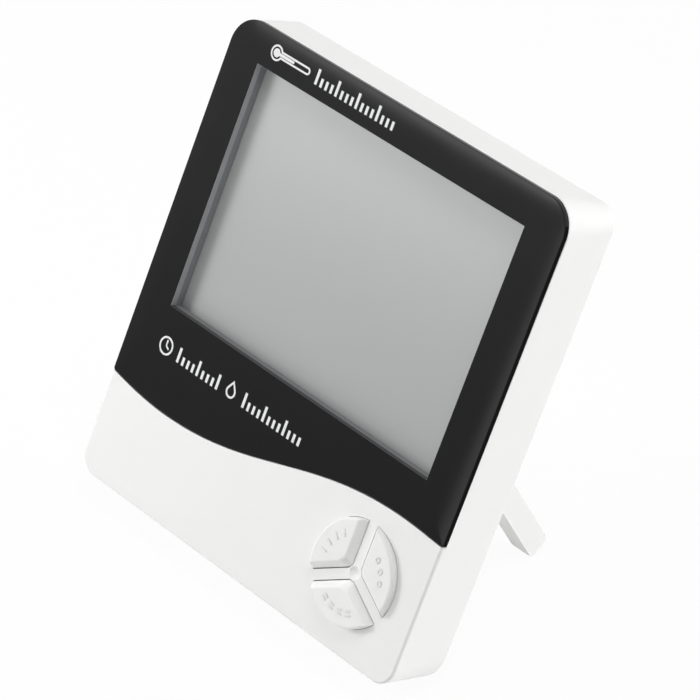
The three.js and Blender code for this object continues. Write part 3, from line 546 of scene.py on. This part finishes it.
def black_gloss(finishes):
    """Glossy black face with a faint ripple and painted sheen, matt outer sides in painted shade, and a bare grey
    edge in the window with painted shade along its lower side.
    """
    tree = new_finish("black_gloss")
    case, display = bpy.context.scene.clock_case, bpy.context.scene.clock_display
    margin, shoulder, corner = 0.02 * MM, 0.15 * MM, 4 * MM
    painted_shade_black, painted_sheen_black = shade_of(finishes.black, 0.2), shade_of(finishes.black, 2.6)
    x, z = tree.upright(0), tree.upright(2)
    reach = display.width / 2 + margin
    low, high = display.bottom - margin, display.bottom + display.height + margin
    inside = (x < reach) * (x > -reach) * (z > low) * (z < high)
    # Painted sheen: paler towards the top and the left, with faint random tone from the noise
    tone_and_painted_sheen = tree.noise(9 * MM) * 0.2 + z * 12.5 - x * 3 - 0.28
    # Painted shade: the outer sides below the top corners take a black darker than the plate's own, and are made
    # matt
    side = (tree.upright(1) > case.pillow + shoulder) * (z < case.height - corner)
    face = tree.mix(side, tree.mix(tone_and_painted_sheen, painted_shade_black, painted_sheen_black), painted_shade_black)
    # Painted shade: the cut edge is darker along the window's lower side
    in_shade = z < low + CLEARANCE
    edge = tree.mix(in_shade, tuple(finishes.cut_edge), shade_of(finishes.cut_edge, 0.2))
    return tree.surface(
        base_color=tree.mix(inside, face, edge),
        roughness=0.14 + tree.noise(14 * MM, 4) * 0.06 + inside * 0.4 + side * 0.8,
        specular_ior_level=0.14,
        normal=tree.bump(tree.noise(26 * MM, 1), 0.02 * MM),
    )


def seal_foam(finishes):
    """Grey foam, open-pored, with painted shade along the window's lower side."""
    tree = new_finish("seal_foam")
    pores = tree.noise(0.25 * MM, 3)
    # Painted shade: the foam is darker along the window's lower side
    low = tree.upright(2) < bpy.context.scene.clock_display.bottom + 0.05 * MM
    return tree.surface(
        base_color=tree.mix(pores - low, shade_of(finishes.seal, 0.82), shade_of(finishes.seal, 1.13)),
        roughness=0.92,
        specular_ior_level=0.2,
        normal=tree.bump(pores, 0.05 * MM),
    )


def display_film(finishes):
    """Satin polarising film with painted light and shade: its tone falls off across the display, and a painted
    shadow darkens its foot.
    """
    tree = new_finish("display_film")
    band, shade = 2 * MM, 0.65
    edge = bpy.context.scene.clock_display.bottom + band
    x, z = tree.upright(0), tree.upright(2)
    # Painted light and shade: light at the top, darker down to a level stretch at the bottom, and a little towards
    # the right
    fall = x * 0.6 + z * (41 - z * 413) - 0.2
    grain = tree.noise(0.2 * MM, 2)
    tone = tree.mix(fall, tuple(finishes.display_painted_light), tuple(finishes.display_painted_shade))
    # Painted shadow along the display's foot, darkest at the window's lower edge
    foot = (z < edge) * (edge - z) * (shade / band)
    return tree.surface(
        base_color=tree.mix(grain * 0.03 + foot, tone, shade_of(finishes.display_painted_light, 0.42)),
        roughness=0.5,
        specular_ior_level=0.25,
        normal=tree.bump(grain, 0.003 * MM),
    )


def printed_ink(finishes):
    """White screen print, a little uneven."""
    tree = new_finish("printed_ink")
    wear = tree.noise(0.5 * MM, 3)
    return tree.surface(
        base_color=tree.mix(wear, shade_of(finishes.ink, 0.93), tuple(finishes.ink)),
        roughness=0.55,
    )


def drawn_metal(name, base, roughness):
    """Metal with fine level marks."""
    tree = new_finish(name)
    marks = tree.noise(0.4 * MM, 4, (1, 1, 12))
    return tree.surface(
        base_color=tree.mix(marks, shade_of(base, 0.88), base),
        metallic=1.0,
        roughness=roughness + marks * 0.12,
        normal=tree.bump(marks, 0.004 * MM),
    )


def material(name):
    """A finish by name, made once."""
    made = bpy.data.materials.get(f"{name} finish")
    if made:
        return made
    finishes = bpy.context.scene.clock_finishes
    makers = {
        "white_plastic": lambda: moulded_plastic("white_plastic", finishes.white),
        "key_plastic": lambda: moulded_plastic("key_plastic", finishes.key, 0.46, milky=0.7),
        "black_gloss": lambda: black_gloss(finishes),
        "seal_foam": lambda: seal_foam(finishes),
        "display_film": lambda: display_film(finishes),
        "printed_ink": lambda: printed_ink(finishes),
        "display_glass": lambda: moulded_plastic("display_glass", srgb(205, 212, 210), 0.15),
        "reflector_film": lambda: drawn_metal("reflector_film", srgb(205, 208, 202), 0.35),
        "contact_rubber": lambda: moulded_plastic("contact_rubber", srgb(154, 160, 166), 0.85),
        "board_green": lambda: moulded_plastic("board_green", srgb(31, 107, 66), 0.5),
        "epoxy": lambda: moulded_plastic("epoxy", srgb(21, 21, 23), 0.35),
        "capacitor_sleeve": lambda: moulded_plastic("capacitor_sleeve", srgb(27, 42, 90), 0.35),
        "switch_black": lambda: moulded_plastic("switch_black", srgb(28, 28, 30), 0.5),
        "sensor_cream": lambda: moulded_plastic("sensor_cream", srgb(230, 223, 200), 0.7),
        "cell_jacket": lambda: moulded_plastic("cell_jacket", srgb(47, 58, 70), 0.3),
        "steel": lambda: drawn_metal("steel", srgb(200, 202, 206), 0.28),
        "brass": lambda: drawn_metal("brass", srgb(212, 175, 96), 0.3),
        "ceramic": lambda: moulded_plastic("ceramic", srgb(233, 230, 221), 0.6),
    }
    return makers[name]()


class FrontShell(bpy.types.Operator):
    """Model the white front shell with its seat, window and key openings"""

    bl_idname = "clock.front_shell"
    bl_label = "Front Shell"

    def execute(self, context):
        case, edge = context.scene.clock_case, context.scene.clock_edge
        display, keys = context.scene.clock_display, context.scene.clock_keys
        shell = self.hollow_box(case)
        front = case.panel_thickness + CLEARANCE
        seat = [(-case.width, edge.left - case.panel_seam), *lower_edge(case, edge, case.panel_seam)]
        seat += [(case.width, edge.right - case.panel_seam), (case.width, 2 * case.height)]
        seat += [(-case.width, 2 * case.height)]
        combine(shell, plate("seat", seat, -THROUGH, front))
        grow, floor = display.seal + CLEARANCE, case.face_wall + THROUGH
        opening = block(
            "opening",
            (-display.width / 2 - grow, -THROUGH, display.bottom - grow),
            (display.width / 2 + grow, floor, display.bottom + display.height + grow),
        )
        combine(shell, opening)
        for direction in KEY_DIRECTIONS.values():
            outline = sector_outline(keys, direction, keys.hole, keys.spoke, keys.hub)
            combine(shell, plate("key_opening", outline, -THROUGH, floor))
        combine(shell, self.dish(case, keys))
        self.round_opening_edges(shell, case.face_recess, keys)
        self.round_seat_edges(shell, case, front)
        smooth(shell)
        settle(shell, "case", "white_plastic", material("white_plastic"), "front_case")
        return {"FINISHED"}

    def hollow_box(self, case):
        """The outer form with its rounded face and rim, hollowed from behind."""
        rings = []
        for i in range(9):
            turn = math.radians(90 * i / 8)
            inset = case.face_round * (1 - math.sin(turn))
            depth = case.face_recess + case.face_round * (1 - math.cos(turn))
            rings.append(self.ring(case, depth, inset))
        for i in range(6):
            turn = math.radians(90 * i / 5)
            inset = case.rim_round * (1 - math.cos(turn))
            depth = case.side_depth - case.rim_round * (1 - math.sin(turn))
            rings.append(self.ring(case, depth, inset))
        shell = loft("front_shell", rings)
        floor = case.face_recess + case.face_wall
        return combine(shell, plate("hollow", case_outline(case, case.wall), floor, 2 * case.side_depth))

    def ring(self, case, depth, inset):
        """The case's outline at one depth."""
        back = (depth - case.face_recess) / (case.side_depth - case.face_recess)
        return depth, case_outline(case, inset, back)

    def dish(self, case, keys):
        """What the hub's shallow dimple takes away."""
        spreads = (1.0, 1.0, 0.9, 0.77, 0.62, 0.45, 0.25, 0.08)
        depths = (-0.5, 0.0, 0.2, 0.41, 0.62, 0.8, 0.94, 1.0)
        middle = keys.across, keys.up
        return loft("dish", [
            (case.face_recess + share * keys.dimple_depth, arc(*middle, spread * keys.dimple, 0, 352.5, 47))
            for spread, share in zip(spreads, depths)
        ])

    def round_opening_edges(self, shell, face, keys):
        """Breaks the edges of the key openings."""
        flush, past_hole = 0.01 * MM, 0.5 * MM

        def on_face(middle, direction):
            level = abs(middle.y - face) < flush and abs(direction.y) < 0.1
            away = (Vector((middle.x, middle.z)) - Vector((keys.across, keys.up))).length
            return level and keys.dimple + CLEARANCE < away < keys.hole + past_hole

        bevel_edges(shell, 0.08 * MM, 2, on_face)

    def round_seat_edges(self, shell, case, front):
        """Breaks the edge that runs round the black plate's seat, and the one below its curve."""
        side, top, near = case.width / 2, case.height, case.top_radius
        above_keys, tip = 20 * MM, 1 * MM

        def outer(middle, direction):
            at_side = abs(middle.x) > side - CLEARANCE
            at_top = middle.z > top - CLEARANCE
            at_corner = abs(middle.x) > side - near and middle.z > top - near
            return abs(middle.y - front) < CLOSE and (at_side or at_top or at_corner)

        def below_curve(middle, direction):
            level = abs(middle.y - case.face_recess) < CLOSE and abs(direction.y) < 0.1
            on_curve = middle.z > above_keys and abs(middle.x) < side - tip
            return level and on_curve and abs(direction.x) > 0.5

        bevel_edges(shell, 0.45 * MM, 4, outer)
        bevel_edges(shell, 0.3 * MM, 3, below_curve)


class BlackFace(bpy.types.Operator):
    """Model the glossy black plate with its curved lower edge and sharp window"""

    bl_idname = "clock.black_face"
    bl_label = "Black Face"

    def execute(self, context):
        case, edge = context.scene.clock_case, context.scene.clock_edge
        display = context.scene.clock_display
        back = case.panel_thickness + CLEARANCE
        rings = []
        for i in range(9):
            left = 1 - i / 8
            inset = case.panel_round + left * case.pillow_width
            rings.append((case.pillow * (1 - left) ** 2, self.outline(case, edge, inset)))
        for i in range(1, 7):
            turn = math.radians(90 * i / 6)
            inset = case.panel_round * (1 - math.sin(turn))
            depth = case.pillow + case.panel_round * (1 - math.cos(turn))
            rings.append((depth, self.outline(case, edge, inset)))
        rings.append((back, self.outline(case, edge, 0)))
        face = loft("black_face", rings)
        window = block(
            "window",
            (-display.width / 2, -THROUGH, display.bottom),
            (display.width / 2, back + THROUGH, display.bottom + display.height),
        )
        combine(face, window)
        smooth(face)
        settle(face, "case", "black_gloss", material("black_gloss"), "front_panel")
        return {"FINISHED"}

    def outline(self, case, edge, inset):
        """The plate's outline, drawn in by an inset."""
        half, high, radius = case.width / 2 - inset, case.height - inset, case.top_radius - inset
        share = half / (case.width / 2)
        return (
            [(x * share, z + inset) for x, z in lower_edge(case, edge, tip=case.panel_tip)]
            + arc(half - radius, high - radius, radius, 0, 90, 20)
            + arc(radius - half, high - radius, radius, 90, 180, 20)
        )


class Display(bpy.types.Operator):
    """Model the window's seal and the display film"""

    bl_idname = "clock.display"
    bl_label = "Display"

    def execute(self, context):
        case, display = context.scene.clock_case, context.scene.clock_display
        half, top = display.width / 2, display.bottom + display.height
        front, back = case.panel_thickness + CLEARANCE, display.depth - CLEARANCE
        seal = block(
            "window_surround",
            (-half - display.seal, front, display.bottom - display.seal),
            (half + display.seal, back, top + display.seal),
        )
        combine(seal, block("inside", (-half, -THROUGH, display.bottom), (half, back + THROUGH, top)))
        smooth(seal)
        settle(seal, "case", "seal_foam", material("seal_foam"), "window_seal")
        film = block(
            "display_face",
            (-half - display.lap, display.depth, display.bottom - display.foot),
            (half + display.lap, display.depth + display.film, top + display.head),
        )
        bevel_edges(film, 0.04 * MM, 1, lambda spot, way: True)
        smooth(film)
        settle(film, "case", "display_film", material("display_film"), "lcd_front_film")
        return {"FINISHED"}


class SectorKeys(bpy.types.Operator):
    """Model the three sector keys with sloping straight sides and a rolled rim"""

    bl_idname = "clock.sector_keys"
    bl_label = "Sector Keys"

    def execute(self, context):
        case, keys = context.scene.clock_case, context.scene.clock_keys
        for node, direction in KEY_DIRECTIONS.items():
            key = self.cap(case, keys, direction)
            key.name = f"{node}_cap"
            smooth(key, 50)
            settle(key, node, "key_plastic", material("key_plastic"), node)
        return {"FINISHED"}

    def cap(self, case, keys, direction):
        """A cap lofted from its top to its flange, and the flange behind it."""
        top = case.face_recess - keys.rise
        offset, outer, hub = keys.spoke + keys.spoke_gap, keys.hole - keys.gap, keys.hub + keys.spoke_gap
        foot_corner, corner_growth, hub_share, brow_share = 0.9 * MM, 1.2 * MM, 1.25, 0.6
        rings = []
        steps = 16
        for i in range(steps + 1):
            sunk = keys.rise * (i / steps) ** 2
            left = 1 - sunk / keys.rise
            roll = keys.rim - math.sqrt(keys.rim**2 - max(0.0, keys.rim - sunk) ** 2)
            curl = max(0.0, 1 - sunk / keys.brow)
            slope = keys.bevel * left + keys.brow * (1 - math.sqrt(1 - curl**2)) * brow_share
            rounding = foot_corner + corner_growth * left
            reach = hub + hub_share * slope
            outline = sector_outline(keys, direction, outer - roll, offset + slope, reach, rounding)
            rings.append((top + sunk, outline))
        play, lip, flange_thickness, overlap = 0.3 * MM, 0.7 * MM, 0.8 * MM, 0.2 * MM
        flange_front = case.face_recess + case.face_wall + play
        rings.append((flange_front + overlap, rings[-1][1]))
        flange = sector_outline(keys, direction, keys.hole + lip, offset - lip, hub - lip)
        cap = loft("cap", rings)
        combine(cap, plate("flange", flange, flange_front, flange_front + flange_thickness), "UNION")
        return join([cap, *self.marks(keys, direction, top)])

    def marks(self, keys, direction, top):
        """Faint raised marks in a row along the round side: bars, rings or pairs of bars."""
        kind, angles = KEY_MARKS[direction]
        ring, ring_hole, half_width, rounding = 0.7 * MM, 0.38 * MM, 0.2 * MM, 0.06 * MM
        long_half, short_half, pair_half = 0.8 * MM, 0.7 * MM, 0.45 * MM
        marks = []
        for angle in angles:
            turn = math.radians(direction + angle)
            out = Vector((math.cos(turn), math.sin(turn)))
            across = Vector((-out.y, out.x))
            middle = Vector((keys.across, keys.up)) + out * keys.mark_radius
            if kind == "rings":
                areas = [arc(*middle, ring, 0, 345, 23)]
            elif kind == "bars":
                areas = [self.bar(middle, out * long_half, across * half_width)]
            else:
                rows = [middle - out * pair_half, middle + out * pair_half]
                areas = [self.bar(row, out * half_width, across * short_half) for row in rows]
            for area in areas:
                mark = plate("mark", area, top - MARK_HEIGHT, top + MARK_HEIGHT)
                if kind == "rings":
                    hole = arc(*middle, ring_hole, 0, 345, 23)
                    combine(mark, plate("hole", hole, top - THROUGH, top + THROUGH))
                bevel_edges(mark, rounding, 2, lambda spot, way: spot.y < top - 0.9 * MARK_HEIGHT)
                marks.append(mark)
        return marks

    def bar(self, middle, along, across):
        """The four corners of a small bar."""
        corners = (-along - across, along - across, along + across, across - along)
        return [tuple(middle + corner) for corner in corners]


class PrintedMarks(bpy.types.Operator):
    """Print plain pictograms and scales on the black plate, above and below the window, in millimetres"""

    bl_idname = "clock.printed_marks"
    bl_label = "Printed Marks"

    def execute(self, context):
        upper, lower = 102.4, 33.5
        marks = self.thermometer(-36.2, upper + 1.6) + self.scale(16, -23.4, 1.55, upper)
        marks += self.clock(-37.6, lower + 1.8) + self.scale(9, -33.2, 1.6, lower)
        marks += self.droplet(-16.2, lower + 1.5) + self.scale(12, -11.8, 1.6, lower)
        printed = join(marks)
        printed.name = "printed_marks"
        smooth(printed)
        settle(printed, "case", "white_plastic", material("printed_ink"))
        return {"FINISHED"}

    def ink(self, outline):
        """One printed area."""
        height, root = 0.012 * MM, 0.03 * MM
        return plate("ink", self.in_metres(outline), -height, root)

    def in_metres(self, outline):
        """An outline in the scene's own unit."""
        return [(x * MM, z * MM) for x, z in outline]

    def line(self, first, last, width):
        """A straight stroke with square ends."""
        first, last = Vector(first), Vector(last)
        side = (last - first).orthogonal().normalized() * width / 2
        return self.ink([tuple(p) for p in (first - side, last - side, last + side, first + side)])

    def frame_of(self, outer, inner):
        """The area between two outlines."""
        return combine(self.ink(outer), plate("inner", self.in_metres(inner), -THROUGH, THROUGH))

    def scale(self, ticks, x, step, z):
        """A row of ticks on one line, every fourth of them longer."""
        tall, short, width = 3.4, 1.9, 0.72
        rows = [(x + step * tick, short if tick % 4 else tall) for tick in range(ticks)]
        return [self.line((place, z), (place, z + high), width) for place, high in rows]

    def thermometer(self, x, z):
        """A thermometer on its side: a tube drawn in outline round a full column."""
        bulb, tube, reach, stroke = 1.75, 0.85, 9.6, 0.42

        def outline(inset):
            radius, half = bulb - inset, tube - inset
            waist = math.degrees(math.asin(half / radius))
            return arc(x, z, radius, waist, 360 - waist, 32) + arc(x + reach, z, half, -90, 90, 12)

        column = arc(x, z, 0.95, 20, 340, 24) + arc(x + 5.2, z, 0.3, -90, 90, 6)
        return [self.frame_of(outline(0), outline(stroke)), self.ink(column)]

    def clock(self, x, z):
        """A clock face with two hands."""
        outer, inner, stroke = 2.1, 1.65, 0.42
        ring = self.frame_of(arc(x, z, outer, 0, 352, 44), arc(x, z, inner, 0, 352, 44))
        tips = ((x, z + 1.35), (x + 0.95, z - 0.5))
        return [ring, *(self.line((x, z), tip, stroke) for tip in tips)]

    def droplet(self, x, z):
        """A drop of water in outline."""

        def outline(radius, tip):
            turn = math.degrees(math.acos(radius / tip))
            return arc(x, z, radius, 90 + turn, 450 - turn, 36) + [(x, z + tip)]

        return [self.frame_of(outline(1.45, 2.6), outline(0.98, 1.8))]


class RearShell(bpy.types.Operator):
    """Dress the rear shell, its door, the stand and the rear keys with broken edges"""

    bl_idname = "clock.rear_shell"
    bl_label = "Rear Shell"

    def execute(self, context):
        white, keys = material("white_plastic"), material("key_plastic")
        rows = [
            ("rear_case", "rear_shell", 0.18 * MM, "case", "white_plastic", white),
            ("battery_door", "door_panel", 0.15 * MM, "battery_door", "white_plastic", white),
            ("stand", "folding_stand", 0.25 * MM, "stand", "white_plastic", white),
            ("unit_key", "unit_key_cap", 0.2 * MM, "unit_key", "key_plastic", keys),
            ("reset_key", "reset_key_cap", 0.15 * MM, "reset_key", "key_plastic", keys),
        ]
        for node, name, width, body, slot, finish in rows:
            dress(soften(node, name, width), body, slot, finish, node)
        return {"FINISHED"}


class Inside(bpy.types.Operator):
    """Give the pieces inside the case their finishes"""

    bl_idname = "clock.inside"
    bl_label = "Inside"

    def execute(self, context):
        slots = {row["node"]: row["material_slot"] for row in frame["record"]["subparts"]}
        for name, node in frame["nodes"].items():
            if node.hide_render:
                continue
            node.data.materials.clear()
            node.data.materials.append(material(slots[name]))
        return {"FINISHED"}


class Stage(bpy.types.Operator):
    """Set the floor, the soft light and the camera"""

    bl_idname = "clock.stage"
    bl_label = "Stage"

    def execute(self, context):
        self.add_floor()
        self.light_world(context.scene)
        self.add_lamps()
        self.add_camera(context.scene)
        return {"FINISHED"}

    def add_floor(self):
        """A wide pale floor that the camera sees as white and that keeps the shadow."""
        width, pale = 8, 0.93
        bpy.ops.object.select_all(action="DESELECT")
        bpy.ops.mesh.primitive_plane_add(size=width)
        floor = bpy.context.object
        floor.name = "floor"
        tree = Tree(bpy.data.materials.new("floor"))
        paper = tree.node("ShaderNodeBsdfDiffuse", inputs={"Color": (pale, pale, pale, 1)})
        glow = tree.node("ShaderNodeEmission")
        blend = tree.node("ShaderNodeMixShader", inputs=(tree.seen_directly() * pale, paper, glow))
        tree.fill(tree.socket("Material Output", "Surface"), blend)
        floor.data.materials.append(tree.owner)

    def light_world(self, scene):
        """A white sky to look at and a plain soft light from all round."""
        fill = 0.36
        scene.world = bpy.data.worlds.new("studio")
        tree = Tree(scene.world)
        strength = {"Value": tree.seen_directly(), "To Min": fill, "To Max": 1.0}
        tree.fill(tree.socket("Background", "Strength"), tree.node("ShaderNodeMapRange", inputs=strength))
        tree.fill(tree.socket("Background", "Color"), (1, 1, 1, 1))

    def add_lamps(self):
        """Three soft lamps for the surfaces, and three that only the gloss mirrors."""
        lit, mirrored = (True, False), (False, True)
        target = Vector((0, 0, 0.05))
        # Name, direction, distance, width, power and what it reaches: surfaces or gloss
        rows = [
            ("front_left", (-0.69, -0.55, 0.46), 0.65, 0.27, 1.93, lit),
            ("rear_right", (0.70, 0.70, 0.14), 1.2, 0.6, 9.0, lit),
            ("overhead", (0.15, 0.11, 0.98), 1.2, 0.6, 4.3, lit),
            ("sheen_above", (-0.57, -0.66, 0.49), 1.5, 0.6, 6.0, mirrored),
            ("sheen_front", (-0.09, -0.99, 0.12), 1.5, 1.2, 9.0, mirrored),
            ("sheen_right", (0.75, -0.66, 0.02), 1.5, 1.2, 5.2, mirrored),
        ]
        for name, way, far, size, power, (diffuse, glossy) in rows:
            bpy.ops.object.select_all(action="DESELECT")
            bpy.ops.object.light_add(type="AREA", location=Vector(way) * far)
            lamp = bpy.context.object
            lamp.name = name
            lamp.data.shape = "DISK"
            lamp.data.size = size
            lamp.data.energy = power
            lamp.visible_diffuse, lamp.visible_glossy = diffuse, glossy
            lamp.rotation_euler = (target - lamp.location).to_track_quat("-Z", "Y").to_euler()

    def add_camera(self, scene):
        """The camera where the photograph was taken from, with colours shown as they are."""
        place = Vector((483.39, -423.78, 528.58)) * MM
        aim = Vector((-0.6011, 0.53095, -0.5973))
        roll, far = math.radians(0.49), 20
        bpy.ops.object.select_all(action="DESELECT")
        bpy.ops.object.camera_add(location=place)
        camera = bpy.context.object
        camera.name = "camera"
        turn = aim.to_track_quat("-Z", "Y").to_matrix() @ Matrix.Rotation(-roll, 3, "Z")
        camera.rotation_euler = turn.to_euler()
        camera.data.sensor_width = SENSOR
        camera.data.lens = FOCAL_PIXELS / IMAGE_SIDE * SENSOR
        camera.data.clip_end = far
        scene.camera = camera
        scene.view_settings.view_transform = "Standard"


STEPS = (FrontShell, BlackFace, Display, SectorKeys, PrintedMarks, RearShell, Inside, Stage)


class StepsPanel(bpy.types.Panel):
    """Lists the steps that make the clock"""

    bl_idname = "VIEW3D_PT_desk_clock"
    bl_label = "Desk Clock"
    bl_space_type = "VIEW_3D"
    bl_region_type = "UI"
    bl_category = "Desk Clock"

    def draw(self, context):
        for step in STEPS:
            self.layout.operator(step.bl_idname)


def register():
    """Registers the settings, the steps and the panel."""
    for name, kind in SETTINGS.items():
        bpy.utils.register_class(kind)
        setattr(bpy.types.Scene, name, PointerProperty(type=kind))
    for kind in (*STEPS, StepsPanel):
        bpy.utils.register_class(kind)


def unregister():
    """Takes away what register added."""
    for kind in (StepsPanel, *reversed(STEPS)):
        bpy.utils.unregister_class(kind)
    for name, kind in SETTINGS.items():
        delattr(bpy.types.Scene, name)
        bpy.utils.unregister_class(kind)


def main():
    """Runs the steps in order."""
    register()
    for step in STEPS:
        group, name = step.bl_idname.split(".")
        getattr(getattr(bpy.ops, group), name)()


if __name__ == "__main__":
    main()
